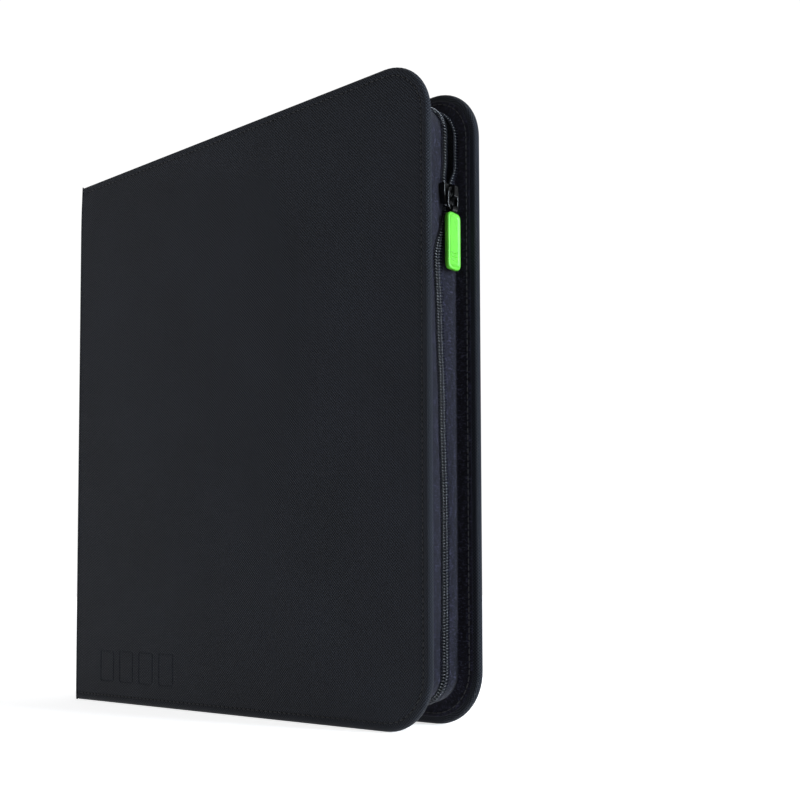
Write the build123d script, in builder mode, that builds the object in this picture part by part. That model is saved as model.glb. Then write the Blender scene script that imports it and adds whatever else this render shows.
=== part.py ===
from build123d import *
import math
import os

# A zip-round binder for trading cards, standing upright on its bottom edges, in millimetres.
# +X runs from the spine to the fore-edge, the front cover faces -Y, and +Z is up. The origin is the middle of
# the footprint. side is -1 for what belongs to the front cover and +1 for the back cover.

# ---- driving dimensions ----
HEIGHT = 350.0
WIDTH = 306.0
DEPTH = 47.0
CORNER_R = 30.0  # the covers' two fore-edge corners
FRONT, BACK = -1, 1
HALF_W, HALF_D = WIDTH / 2, DEPTH / 2

# ---- cover layers, counted inwards from the outer face ----
SKIN_T = 0.6
FOAM_T = 1.4
BOARD_T = 1.9
COVER_T = 2 * SKIN_T + FOAM_T + BOARD_T
LINING_T = 0.5
EDGE_ROUND = 1.6
TURN_IN = 22.0  # how far the skin is turned in over the inner face
LAYER_GAP = 0.1

# ---- spine and the fabric folds beside it ----
FOLD_R = 5.0
COVER_X0 = -HALF_W + FOLD_R
SPINE_T = 3.1
SPINE_BOARD_T = 2.0
SPINE_HALF = HALF_D - FOLD_R
SPINE_TURN_IN = 14.0
FOLD_T = 0.7
HINGE_X = -HALF_W + 1.5
HINGE_Y = HALF_D - 1.5

# ---- zip gusset ----
INSET = 13.0  # from the covers' edges to the gusset wall
TAPE_T = 0.6
TAPE_END_X = -146.0
FLANGE_EDGE = 4.0  # the tape's sewn margin starts this far in from the cover's edge
CHAIN_LOW_Y = 5.0  # the chain's middle along the bottom; it leans towards the back cover as it rises
COIL_W, COIL_H = 3.3, 2.2
COIL_END_X = -141.8
TAPE_BACK_OFF = 1.45  # from a coil row's inner side to its tape's edge
CLOSED_GAP = 0.05  # half the gap between meshed rows
MOUTH_GAP = 1.4  # the same where the slider's post parts them
OPEN_GAP = 3.5  # the same along the open top
OPEN_Y = 11.4  # the middle between the open rows, which lie against the back cover
OPEN_FROM_Z = 304.0
TAPE_REACH_Y = 14.0  # farther across the gusset than either tape reaches
REACH = 400.0  # longer than any side of the binder, for cutting prisms

# ---- slider and pull ----
SLIDER_Y, SLIDER_Z = 8.5, 286.0
SLIDER_L = 11.0
SLIDER_LOW_Z = 39.0  # the slider's middle at the bottom of the fore-edge
SLIDER_HALF_W = 5.9
SLIDER_TAIL_HALF_W = 5.0
WING_T = 1.3
WING_GAP_IN = 0.5  # wing to tape, on the inner side
WING_GAP_OUT = 0.3  # wing to coil, on the outer side
LIP_T = 0.9
TAPE_PLAY = 0.3
POST_HALF_W = 1.1
POST_L = 3.0
CROWN_W = 3.0
CROWN_RISE = 3.6
CROWN_BELOW, CROWN_ABOVE = 3.8, 5.2  # the crown's ends, from the slider's middle
CROWN_BAR = 1.1
RING_W, RING_L, RING_T, RING_BAR = 10.0, 12.6, 1.5, 1.7
RING_ROUND = 4.0
RING_LEAN = -2.0  # degrees out from the slider's face
RING_PIVOT_X, RING_PIVOT_Z = 1.35, 2.6  # from the outer wing's face and the slider's middle
TAB_W, TAB_L, TAB_T = 11.0, 31.0, 3.0
EYELET_W, EYELET_R, EYELET_HOLE_R = 4.0, 2.05, 1.25
EYELET_TUCK_T, EYELET_TUCK_L = 1.2, 5.0
TAB_DROP = 2.1  # from the tab's pivot to its top edge

# ---- pages and their binding ----
PAGES = 20
PAGE_PITCH = 1.6
PAGE_H = 292.0
PAGE_X1 = 134.0
MID_CREASE_X = -134.0
CREASE_STAGGER = 0.9  # the nearer a page is to a cover, the nearer to the spine it bends
CREASE_GAP = 0.6
PAGE_CORNER_R = 4.0
CORE_T, FILM_T, FILM_GAP = 0.3, 0.14, 0.05
FILM_INSET = 1.0
MARGIN_X0 = -148.2
MARGIN_T = 0.4
SPACER_SLACK = 0.02
CHANNEL_T = 1.0
CHANNEL_X1 = -143.2
RIVETS = 5
RIVET_R, RIVET_HEAD_R, RIVET_HEAD_T = 1.5, 2.8, 0.7
RIVET_X = -146.0
RIVET_END = 30.0  # from the pages' ends to the first and last rivet
RIVET_PLAY = 0.1

# ---- planes worked out from the dimensions above ----
INNER_FACE = HALF_D - COVER_T
WALL_OUT = HALF_W - INSET
WALL_IN = WALL_OUT - TAPE_T
COIL_TOP = WALL_OUT + COIL_H
SPINE_IN = -HALF_W + SPINE_T
PAGE_Z0 = (HEIGHT - PAGE_H) / 2
PLY_SPAN = PAGES * PAGE_PITCH


def slab(y0, y1):
    """The sketch plane at y1 whose normal points to -Y, and the amount that fills the slab down to y0."""
    return Plane.XZ.offset(-y1), y1 - y0


def layer(side, d0, d1):
    """The slab between two depths under a cover's outer face."""
    a, b = side * (HALF_D - d0), side * (HALF_D - d1)
    return slab(min(a, b), max(a, b))


def cover_face(plane, inset, x0=COVER_X0):
    """A cover's outline with its two rounded fore-edge corners, inset on the three free edges."""
    x1 = HALF_W - inset
    with BuildSketch(plane) as face:
        with Locations(((x0 + x1) / 2, HEIGHT / 2)):
            Rectangle(x1 - x0, HEIGHT - 2 * inset)
        fillet(face.vertices().group_by(Axis.X)[-1], CORNER_R - inset)
    return face.sketch


def border_face(plane, outer, inner, x0):
    """A band round the three free edges, between two insets, that ends at x0 on the spine side."""
    with BuildSketch(plane) as band:
        add(cover_face(Plane.XY, outer, x0))
        add(cover_face(Plane.XY, inner, x0 - REACH), mode=Mode.SUBTRACT)
    return band.sketch


def finish(part, name):
    part.label = name
    export_step(part, f"parts/{name}.step")
    return part


# ---- covers ----
def make_skin(side, name):
    """The outer skin, wrapped round the edges and turned in over the inner face."""
    with BuildPart() as skin:
        plane, amount = layer(side, 0, COVER_T)
        extrude(cover_face(plane, 0), amount=amount)
        outer_face = skin.faces().sort_by(Axis.Y)[0 if side == FRONT else -1]
        fillet(outer_face.edges().filter_by(lambda e: e.center().X > COVER_X0 + 1), EDGE_ROUND)
        plane, amount = layer(side, SKIN_T, COVER_T - SKIN_T)
        extrude(cover_face(plane, SKIN_T, COVER_X0 - 1), amount=amount, mode=Mode.SUBTRACT)
        plane, amount = layer(side, COVER_T - SKIN_T, COVER_T)
        extrude(cover_face(plane, TURN_IN, COVER_X0 - 1), amount=amount, mode=Mode.SUBTRACT)
    return finish(skin.part, name)


def make_sheet(side, d0, d1, inset, name):
    """One flat layer inside a cover."""
    with BuildPart() as sheet:
        plane, amount = layer(side, d0, d1)
        extrude(cover_face(plane, inset), amount=amount)
    return finish(sheet.part, name)


def make_cover(side, word):
    board_in = SKIN_T + FOAM_T + BOARD_T
    make_skin(side, f"{word}_cover_skin")
    make_sheet(side, SKIN_T, SKIN_T + FOAM_T, SKIN_T + EDGE_ROUND / 2, f"{word}_foam_pad")
    make_sheet(side, SKIN_T + FOAM_T, board_in, SKIN_T + LAYER_GAP, f"{word}_cover_board")
    make_sheet(side, board_in, board_in + LINING_T, TURN_IN + LAYER_GAP, f"{word}_lining")


# ---- spine ----
def make_spine():
    with BuildPart() as skin:
        with BuildSketch(Plane.XY):
            with Locations((-HALF_W + SPINE_T / 2, 0)):
                Rectangle(SPINE_T, 2 * SPINE_HALF)
        extrude(amount=HEIGHT)
        with BuildSketch(Plane.XY.offset(SKIN_T)):
            with Locations((-HALF_W + SKIN_T + SPINE_BOARD_T / 2, 0)):
                Rectangle(SPINE_BOARD_T, 2 * SPINE_HALF)
        extrude(amount=HEIGHT - 2 * SKIN_T, mode=Mode.SUBTRACT)
        with BuildSketch(Plane.XY.offset(SPINE_TURN_IN)):
            with Locations((SPINE_IN, 0)):
                Rectangle(2 * (SPINE_T - SKIN_T - SPINE_BOARD_T), 2 * SPINE_HALF)
        extrude(amount=HEIGHT - 2 * SPINE_TURN_IN, mode=Mode.SUBTRACT)
    finish(skin.part, "spine_skin")

    with BuildPart() as board:
        with BuildSketch(Plane.XY.offset(SKIN_T + LAYER_GAP)):
            with Locations((-HALF_W + SKIN_T + SPINE_BOARD_T / 2, 0)):
                Rectangle(SPINE_BOARD_T, 2 * SPINE_HALF)
        extrude(amount=HEIGHT - 2 * (SKIN_T + LAYER_GAP))
    finish(board.part, "spine_board")

    with BuildPart() as lining:
        with BuildSketch(Plane.XY.offset(SPINE_TURN_IN + LAYER_GAP)):
            with Locations((SPINE_IN - LINING_T / 2, 0)):
                Rectangle(LINING_T, 2 * SPINE_HALF)
        extrude(amount=HEIGHT - 2 * (SPINE_TURN_IN + LAYER_GAP))
    finish(lining.part, "spine_lining")


def make_fold(side, word):
    """The quarter-round strip of skin between the spine and a cover, where the fabric bends."""
    cy = side * SPINE_HALF
    with BuildPart() as fold:
        with BuildSketch(Plane.XY):
            with Locations((COVER_X0, cy)):
                Circle(FOLD_R)
                Circle(FOLD_R - FOLD_T, mode=Mode.SUBTRACT)
            with Locations((COVER_X0 - FOLD_R / 2, cy + side * FOLD_R / 2)):
                Rectangle(FOLD_R, FOLD_R, mode=Mode.INTERSECT)
        extrude(amount=HEIGHT)
    finish(fold.part, f"{word}_fold")


# ---- zip ----
def chain_y(z):
    """The chain's middle along the fore-edge, on the straight line that the slider travels."""
    return CHAIN_LOW_Y + (SLIDER_Y - CHAIN_LOW_Y) * (z - SLIDER_LOW_Z) / (SLIDER_Z - SLIDER_LOW_Z)


def row_profile():
    """Height, middle and half gap of the coil rows: meshed, parted in the slider, then open to the top."""
    tail, mouth = SLIDER_Z - SLIDER_L / 2, SLIDER_Z + SLIDER_L / 2
    parted = mouth - POST_L - 2.0
    return [
        (-1.0, CHAIN_LOW_Y, CLOSED_GAP),
        (SLIDER_LOW_Z, CHAIN_LOW_Y, CLOSED_GAP),
        (tail + 2.0, chain_y(tail + 2.0), CLOSED_GAP),
        (parted, chain_y(parted), MOUTH_GAP),
        (mouth, chain_y(mouth), MOUTH_GAP),
        (OPEN_FROM_Z, OPEN_Y, OPEN_GAP),
        (HEIGHT + 1.0, OPEN_Y, OPEN_GAP),
    ]


def row_prism(side, near, far):
    """A prism along X that holds what lies between two distances out from a row's inner side."""
    inner = [(mid + side * (gap + near), z) for z, mid, gap in row_profile()]
    outer = [(mid + side * (gap + far), z) for z, mid, gap in row_profile()]
    with BuildPart() as prism:
        with BuildSketch(Plane.YZ.offset(-REACH / 2)):
            with BuildLine():
                Polyline(*inner, *reversed(outer), close=True)
            make_face()
        extrude(amount=REACH)
    return prism.part


def make_tape(side, name):
    """The tape: a wall round the three free edges and the margin that is sewn to the cover."""
    seam, far = side * INNER_FACE, -side * TAPE_REACH_Y
    with BuildPart() as tape:
        plane, amount = slab(min(seam, far), max(seam, far))
        extrude(border_face(plane, INSET, INSET + TAPE_T, TAPE_END_X), amount=amount)
        flange = side * (INNER_FACE - TAPE_T)
        plane, amount = slab(min(seam, flange), max(seam, flange))
        extrude(border_face(plane, FLANGE_EDGE, INSET + TAPE_T, TAPE_END_X), amount=amount)
        add(row_prism(side, -REACH, TAPE_BACK_OFF), mode=Mode.SUBTRACT)
    return finish(tape.part, name)


def make_coil(side, name):
    """One row of the coil, as a plain bead on the tape's outer face."""
    plane, amount = slab(-HALF_D, HALF_D)
    with BuildPart() as coil:
        extrude(border_face(plane, INSET - COIL_H, INSET, COIL_END_X), amount=amount)
        add(row_prism(side, 0, COIL_W), mode=Mode.INTERSECT)
    return finish(coil.part, name)


def stop_block(y0, y1, z0, z1):
    x0, x1 = TAPE_END_X + 0.4, COIL_END_X - 0.1
    with BuildPart() as block:
        with Locations(((x0 + x1) / 2, (y0 + y1) / 2, (z0 + z1) / 2)):
            Box(x1 - x0, y1 - y0, z1 - z0)
        fillet(block.edges().filter_by(Axis.X), 0.5)
    return block.part


def make_stops():
    over, over_y = 0.3, 0.15
    top = HEIGHT - INSET
    for side, word in ((FRONT, "front"), (BACK, "back")):
        a = OPEN_Y + side * (OPEN_GAP - over_y)
        b = OPEN_Y + side * (OPEN_GAP + COIL_W + over_y)
        finish(stop_block(min(a, b), max(a, b), top, top + COIL_H + over), f"{word}_top_stop")
    half = COIL_W + CLOSED_GAP + over_y
    low = INSET - COIL_H - over
    finish(stop_block(CHAIN_LOW_Y - half, CHAIN_LOW_Y + half, low, INSET - LAYER_GAP), "zip_bottom_stop")


def make_end_tabs():
    """The two fabric tabs that close the gusset between the ends of the tapes and the spine."""
    x0, x1 = SPINE_IN, TAPE_END_X - 0.6
    half = INNER_FACE - 2.0
    with BuildPart() as tabs:
        for z in (INSET, HEIGHT - INSET - TAPE_T):
            with BuildSketch(Plane.XY.offset(z)):
                with Locations(((x0 + x1) / 2, 0)):
                    Rectangle(x1 - x0, 2 * half)
            extrude(amount=TAPE_T)
    finish(tabs.part, "zip_end_tabs")


# ---- slider and pull ----
def slider_sketch(plane, grow=0.0):
    """The slider's outline seen from the fore-edge: wide at its mouth, which is on top, and narrow at its tail."""
    mouth, tail = SLIDER_HALF_W + grow, SLIDER_TAIL_HALF_W + grow
    low, high = SLIDER_Z - SLIDER_L / 2, SLIDER_Z + SLIDER_L / 2
    with BuildSketch(plane) as face:
        with BuildLine():
            Polyline(
                (SLIDER_Y - tail, low),
                (SLIDER_Y + tail, low),
                (SLIDER_Y + mouth, high - SLIDER_L * 0.4),
                (SLIDER_Y + mouth, high),
                (SLIDER_Y - mouth, high),
                (SLIDER_Y - mouth, high - SLIDER_L * 0.4),
                close=True,
            )
        make_face()
    return face.sketch


def make_slider():
    wing_in1 = WALL_IN - WING_GAP_IN
    wing_in0 = wing_in1 - WING_T
    wing_out0 = COIL_TOP + WING_GAP_OUT
    wing_out1 = wing_out0 + WING_T
    with BuildPart() as body:
        extrude(slider_sketch(Plane.YZ.offset(wing_in0)), amount=wing_out1 - wing_in0)
        cavity = slider_sketch(Plane.YZ.offset(wing_in1), -LIP_T)
        extrude(cavity, amount=wing_out0 - wing_in1, mode=Mode.SUBTRACT)
        with Locations((WALL_OUT - TAPE_T / 2, SLIDER_Y, SLIDER_Z)):
            Box(TAPE_T + 2 * TAPE_PLAY, 3 * SLIDER_HALF_W, 2 * SLIDER_L, mode=Mode.SUBTRACT)
        for end_z in (SLIDER_Z - SLIDER_L / 2, SLIDER_Z + SLIDER_L / 2):
            half = SLIDER_TAIL_HALF_W if end_z < SLIDER_Z else SLIDER_HALF_W
            with Locations(((wing_in1 + wing_out0) / 2, SLIDER_Y, end_z)):
                Box(wing_out0 - wing_in1, 2 * (half - LIP_T), 2.0, mode=Mode.SUBTRACT)
        fillet(body.faces().sort_by(Axis.X)[-1].edges(), 0.5)
        fillet(body.faces().sort_by(Axis.X)[0].edges(), 0.5)
        with BuildSketch(Plane.YZ.offset(wing_in1)):
            with Locations((SLIDER_Y, SLIDER_Z + SLIDER_L / 2 - POST_L / 2 - 1.0)):
                RectangleRounded(2 * POST_HALF_W, POST_L, 0.9)
        extrude(amount=wing_out0 - wing_in1)
    finish(body.part, "slider_body")

    low, high = SLIDER_Z - CROWN_BELOW, SLIDER_Z + CROWN_ABOVE
    with BuildPart() as crown:
        with BuildSketch(Plane.XZ.offset(-(SLIDER_Y + CROWN_W / 2))) as arch:
            with BuildLine():
                Polyline(
                    (wing_out1, low),
                    (wing_out1, high),
                    (wing_out1 + CROWN_RISE, high - 1.0),
                    (wing_out1 + CROWN_RISE, low + 2.0),
                    close=True,
                )
            make_face()
            fillet(arch.vertices().group_by(Axis.X)[-1], 1.0)
            with BuildLine():
                Polyline(
                    (wing_out1, low + 1.6),
                    (wing_out1, high - 1.1),
                    (wing_out1 + CROWN_RISE - CROWN_BAR, high - 1.6),
                    (wing_out1 + CROWN_RISE - CROWN_BAR, low + 2.6),
                    close=True,
                )
            make_face(mode=Mode.SUBTRACT)
        extrude(amount=CROWN_W)
    finish(crown.part, "slider_crown")
    return wing_out1


def ring_plane(wing_top):
    """The plane of the pull ring at rest: it hangs from the crown and leans a little outwards."""
    lean = math.radians(RING_LEAN)
    origin = (wing_top + RING_PIVOT_X, SLIDER_Y, SLIDER_Z + RING_PIVOT_Z)
    return Plane(origin, x_dir=(0, 1, 0), z_dir=(math.cos(lean), 0, math.sin(lean)))


def make_pull(wing_top):
    plane = ring_plane(wing_top)
    drop = RING_L - RING_BAR  # from the upper bar's centre to the lower bar's centre
    with BuildPart() as ring:
        with BuildSketch(plane.offset(-RING_T / 2)):
            with Locations((0, -drop / 2)):
                RectangleRounded(RING_W, RING_L, RING_ROUND)
                RectangleRounded(
                    RING_W - 2 * RING_BAR, RING_L - 2 * RING_BAR, RING_ROUND - RING_BAR, mode=Mode.SUBTRACT
                )
        extrude(amount=RING_T)
        fillet(ring.edges().filter_by(lambda e: e.length > 1), 0.45)
    finish(ring.part, "pull_ring")

    foot = plane.from_local_coords((0, -drop, 0))
    knuckle_plane = Plane.XZ.offset(-(SLIDER_Y + EYELET_W / 2))
    tuck_end = foot.Z - TAB_DROP - EYELET_TUCK_L
    with BuildPart() as eyelet:
        with BuildSketch(knuckle_plane):
            with Locations((foot.X, foot.Z)):
                Circle(EYELET_R)
            with Locations((foot.X, (foot.Z + tuck_end) / 2)):
                Rectangle(EYELET_TUCK_T, foot.Z - tuck_end)
            with Locations((foot.X, foot.Z)):
                Circle(EYELET_HOLE_R, mode=Mode.SUBTRACT)
        extrude(amount=EYELET_W)
    finish(eyelet.part, "pull_eyelet")

    tab_plane = Plane((foot.X, SLIDER_Y, foot.Z), x_dir=(0, 1, 0), z_dir=(1, 0, 0))
    with BuildPart() as tab:
        with BuildSketch(tab_plane.offset(-TAB_T / 2)):
            with Locations((0, -TAB_DROP - TAB_L / 2)):
                RectangleRounded(TAB_W, TAB_L, 3.2)
        extrude(amount=TAB_T)
        fillet(tab.faces().sort_by(Axis.X)[0].edges() + tab.faces().sort_by(Axis.X)[-1].edges(), 0.6)
        add(eyelet.part, mode=Mode.SUBTRACT)
    finish(tab.part, "pull_tab")
    return plane.origin, foot


# ---- pages ----
def page_y(i):
    return (i - (PAGES - 1) / 2) * PAGE_PITCH


def crease_x(i):
    """Where page i bends: the two middle pages bend farthest from the spine."""
    from_middle = max(PAGES // 2 - 1 - i, i - PAGES // 2)
    return MID_CREASE_X - from_middle * CREASE_STAGGER


def page_sheet(i, offset, thick, inset):
    """One flat sheet of page i, centred at an offset from the page's middle, with rounded fore-edge corners."""
    x0, x1 = crease_x(i) + CREASE_GAP + inset, PAGE_X1 - inset
    y = page_y(i) + offset
    plane, amount = slab(y - thick / 2, y + thick / 2)
    with BuildPart() as sheet:
        with BuildSketch(plane) as face:
            with Locations(((x0 + x1) / 2, HEIGHT / 2)):
                Rectangle(x1 - x0, PAGE_H - 2 * inset)
            fillet(face.vertices().group_by(Axis.X)[-1], PAGE_CORNER_R)
        extrude(amount=amount)
    return sheet.part


def make_pages():
    """Each page is a black core sheet between two films, which hold the card pockets."""
    out = CORE_T / 2 + FILM_GAP + FILM_T / 2
    for i in range(PAGES):
        front_film = page_sheet(i, -out, FILM_T, FILM_INSET)
        core = page_sheet(i, 0, CORE_T, 0)
        back_film = page_sheet(i, out, FILM_T, FILM_INSET)
        finish(Compound(children=[front_film, core, back_film]), f"page_{i + 1:02d}")


def rivet_spots():
    step = (PAGE_H - 2 * RIVET_END) / (RIVETS - 1)
    return [(RIVET_X, PAGE_Z0 + RIVET_END + k * step) for k in range(RIVETS)]


def margin_strip(y, thick, x1):
    """A strip in the bound margin with a hole for every rivet."""
    plane, amount = slab(y - thick / 2, y + thick / 2)
    with BuildPart() as strip:
        with BuildSketch(plane):
            with Locations(((MARGIN_X0 + x1) / 2, HEIGHT / 2)):
                Rectangle(x1 - MARGIN_X0, PAGE_H)
            with Locations(*rivet_spots()):
                Circle(RIVET_R + RIVET_PLAY, mode=Mode.SUBTRACT)
        extrude(amount=amount)
    return strip.part


def make_binding():
    margins = [margin_strip(page_y(i), MARGIN_T, crease_x(i) - CREASE_GAP) for i in range(PAGES)]
    finish(Compound(children=margins), "page_margins")

    between = PAGE_PITCH - MARGIN_T - SPACER_SLACK
    spacers = [margin_strip(page_y(i) + PAGE_PITCH / 2, between, CHANNEL_X1) for i in range(PAGES - 1)]
    finish(Compound(children=spacers), "binding_spacers")

    half_in = PLY_SPAN / 2
    half_out = half_in + CHANNEL_T
    with BuildPart() as channel:
        with BuildSketch(Plane.XY.offset(PAGE_Z0)):
            with Locations(((SPINE_IN + CHANNEL_X1) / 2, 0)):
                Rectangle(CHANNEL_X1 - SPINE_IN, 2 * half_out)
            with Locations((SPINE_IN + CHANNEL_T + REACH / 2, 0)):
                Rectangle(REACH, 2 * half_in, mode=Mode.SUBTRACT)
        extrude(amount=PAGE_H)
        plane, amount = slab(-half_out, half_out)
        with BuildSketch(plane):
            with Locations(*rivet_spots()):
                Circle(RIVET_R + RIVET_PLAY)
        extrude(amount=amount, mode=Mode.SUBTRACT)
    finish(channel.part, "binding_channel")

    rivets = []
    for x, z in rivet_spots():
        plane, amount = slab(-half_out, half_out)
        with BuildPart() as rivet:
            with BuildSketch(plane):
                with Locations((x, z)):
                    Circle(RIVET_R)
            extrude(amount=amount)
            for y0 in (-half_out - RIVET_HEAD_T, half_out):
                plane, amount = slab(y0, y0 + RIVET_HEAD_T)
                with BuildSketch(plane):
                    with Locations((x, z)):
                        Circle(RIVET_HEAD_R)
                extrude(amount=amount)
            fillet(rivet.faces().sort_by(Axis.Y)[0].edges() + rivet.faces().sort_by(Axis.Y)[-1].edges(), 0.4)
        rivets.append(rivet.part)
    finish(Compound(children=rivets), "binding_rivets")


def main():
    os.makedirs("parts", exist_ok=True)
    for side, word in ((FRONT, "front"), (BACK, "back")):
        make_cover(side, word)
        make_fold(side, word)
        make_tape(side, f"{word}_zip_tape")
        make_coil(side, f"{word}_coil")
    make_spine()
    make_stops()
    make_end_tabs()
    wing_top = make_slider()
    ring_top, ring_foot = make_pull(wing_top)
    make_pages()
    make_binding()
    print(f"cover hinges at x {HINGE_X}, y -/+{HINGE_Y}")
    print(f"ring pivot x {ring_top.X:.3f} z {ring_top.Z:.3f}, tab pivot x {ring_foot.X:.3f} z {ring_foot.Z:.3f}")
    print("page creases", [(round(crease_x(i), 3), round(page_y(i), 3)) for i in range(PAGES)])


main()
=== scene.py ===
import math

import bpy
from mathutils import Matrix, Vector, noise


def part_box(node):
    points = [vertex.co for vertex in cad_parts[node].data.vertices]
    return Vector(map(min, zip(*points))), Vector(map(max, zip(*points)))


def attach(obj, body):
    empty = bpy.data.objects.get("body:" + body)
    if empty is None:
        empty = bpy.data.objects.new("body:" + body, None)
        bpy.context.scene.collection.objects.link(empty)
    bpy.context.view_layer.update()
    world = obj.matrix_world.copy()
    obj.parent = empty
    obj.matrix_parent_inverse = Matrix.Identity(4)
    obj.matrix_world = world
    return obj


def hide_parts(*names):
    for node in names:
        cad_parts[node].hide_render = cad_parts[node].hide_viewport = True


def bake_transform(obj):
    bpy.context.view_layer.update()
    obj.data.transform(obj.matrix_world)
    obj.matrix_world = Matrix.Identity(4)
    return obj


# The looks of a zip-round trading card binder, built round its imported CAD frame. Shapes are worked out
# in millimetres in the row's frame and written to meshes in metres. side is -1 at the front cover and
# +1 at the back.

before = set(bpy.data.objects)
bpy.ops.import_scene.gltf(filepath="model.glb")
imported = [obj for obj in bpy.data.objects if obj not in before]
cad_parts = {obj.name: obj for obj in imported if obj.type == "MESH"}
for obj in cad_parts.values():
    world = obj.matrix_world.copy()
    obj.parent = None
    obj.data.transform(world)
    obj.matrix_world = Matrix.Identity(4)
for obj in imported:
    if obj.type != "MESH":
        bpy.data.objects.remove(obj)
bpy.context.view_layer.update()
MM = 0.001
FRONT, BACK = -1, 1
WORDS = {FRONT: "front", BACK: "back"}


def box_mm(node):
    """A CAD node's lowest and highest corners, in millimetres."""
    low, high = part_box(node)
    return Vector(low) / MM, Vector(high) / MM


# ---- dimensions read from the frame ----
SKIN_LOW, SKIN_HIGH = box_mm("back_cover_skin")
COVER_X0, COVER_X1 = SKIN_LOW.x, SKIN_HIGH.x
HEIGHT = SKIN_HIGH.z
FACE_Y = SKIN_HIGH.y
COVER_T = SKIN_HIGH.y - SKIN_LOW.y
INNER_Y = FACE_Y - COVER_T
SPINE_LOW, SPINE_HIGH = box_mm("spine_skin")
SPINE_X, SPINE_IN_X = SPINE_LOW.x, SPINE_HIGH.x
SPINE_HALF = SPINE_HIGH.y
COIL_X0 = box_mm("front_coil")[0].x
TAPE_X0 = box_mm("front_zip_tape")[0].x
OPEN_LOW_Y, OPEN_HIGH_Y = box_mm("front_top_stop")[0].y, box_mm("back_top_stop")[1].y
SLIDER_LOW, SLIDER_HIGH = box_mm("slider_body")
TAB_LOW, TAB_HIGH = box_mm("pull_tab")
PAGE_NODES = sorted(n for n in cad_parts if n.startswith("page_") and n[5:].isdigit())

# ---- dimensions of the looks ----
CORNER_R = 30.0
INSET = 13.0  # from the covers' edges to the gusset wall
SLIDER_Y = (SLIDER_LOW.y + SLIDER_HIGH.y) / 2
SLIDE_DOWN, SLIDE_UP = -247.0, 28.0  # the slider's travel from its place at rest
SLIDER_REACH = 9.0  # over which the tape's bow comes back above and below the slider
COIL_W = 3.3
COIL_PITCH = 1.6
TAPE_UNDER_COIL = 1.45
STOP_OVERHANG = 0.15  # of the top stops past their coil rows
CLOSED_GAP, MOUTH_GAP = 0.05, 1.4
OPEN_Y = (OPEN_LOW_Y + OPEN_HIGH_Y) / 2
OPEN_GAP = (OPEN_HIGH_Y - OPEN_LOW_Y) / 2 - STOP_OVERHANG - COIL_W
OPEN_FROM_Z = 304.0
# the slack chain's (z, y) places below the slider
CHAIN_WANDER = ((0, 5.0), (46, 5.0), (75, 5.3), (112, 5.3), (172, 3.5), (217, 1.4), (250, -0.4))
STITCH_INSET, STITCH_PITCH = 4.6, 3.7
GROOVE = 0.46  # how deep the stitches pull the padding in
SEAM_INSET = 6.2
YARN = 0.85


# ================= paths and meshes =================
class EdgePath:
    """The covers' outline at an inset, followed from the bottom of the spine side round to its top."""

    def __init__(self, inset):
        self.inset = inset
        self.straight = COVER_X1 - CORNER_R - COVER_X0
        self.arc = (CORNER_R - inset) * math.pi / 2
        self.upright = HEIGHT - 2 * CORNER_R
        self.length = 2 * self.straight + 2 * self.arc + self.upright

    def at(self, d):
        """The point (x, z) at a distance along the path, and its outward normal."""
        cx, low, high = COVER_X1 - CORNER_R, CORNER_R, HEIGHT - CORNER_R
        r = CORNER_R - self.inset
        if d < self.straight:
            return COVER_X0 + d, self.inset, 0.0, -1.0
        d -= self.straight
        if d < self.arc:
            a = -math.pi / 2 + d / r
            return cx + r * math.cos(a), low + r * math.sin(a), math.cos(a), math.sin(a)
        d -= self.arc
        if d < self.upright:
            return COVER_X1 - self.inset, low + d, 1.0, 0.0
        d -= self.upright
        if d < self.arc:
            a = d / r
            return cx + r * math.cos(a), high + r * math.sin(a), math.cos(a), math.sin(a)
        d -= self.arc
        return cx - d, HEIGHT - self.inset, 0.0, 1.0


FACE_GRID_INSET = 12.0
ARC_STEPS = 16
CARD_W, CARD_H, CARD_STEP, CARD_COUNT = 15.0, 21.0, 20.0, 4
MOTIF_X, MOTIF_Z = -122.0, 13.5  # the lower corner of the first pressed card
MOTIF_W = CARD_STEP * (CARD_COUNT - 1) + CARD_W
FINE = 0.5


def spaced(low, high, coarse, fine_low, fine_high):
    """Values from low to high in coarse steps, with fine steps between two of them."""
    values = []
    for a, b, step in ((low, fine_low, coarse), (fine_low, fine_high, FINE), (fine_high, high, coarse)):
        count = max(1, round((b - a) / step))
        values += [a + (b - a) * k / count for k in range(count)]
    return values + [high]


RUN_XS = spaced(COVER_X0, COVER_X1 - CORNER_R, 4.7, MOTIF_X - 1.5, MOTIF_X + MOTIF_W + 1.5)
RISE_ZS = spaced(FACE_GRID_INSET, HEIGHT - FACE_GRID_INSET, 4.5, MOTIF_Z - 1.0, MOTIF_Z + CARD_H + 1.5)
RISES = [(z - FACE_GRID_INSET) / (HEIGHT - 2 * FACE_GRID_INSET) for z in RISE_ZS]


def outline_points():
    """Points of the covers' outer edge with their outward normals, spaced for lofting."""
    cx, low, high = COVER_X1 - CORNER_R, CORNER_R, HEIGHT - CORNER_R
    points = [(x, 0.0, 0.0, -1.0) for x in RUN_XS[:-1]]
    for i in range(ARC_STEPS):
        a = -math.pi / 2 * (1 - i / ARC_STEPS)
        points.append((cx + CORNER_R * math.cos(a), low + CORNER_R * math.sin(a), math.cos(a), math.sin(a)))
    points += [(COVER_X1, low + (high - low) * rise, 1.0, 0.0) for rise in RISES[:-1]]
    for i in range(ARC_STEPS):
        a = math.pi / 2 * i / ARC_STEPS
        points.append((cx + CORNER_R * math.cos(a), high + CORNER_R * math.sin(a), math.cos(a), math.sin(a)))
    return points + [(x, HEIGHT, 0.0, 1.0) for x in RUN_XS[::-1]]


OUTLINE = outline_points()


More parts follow.
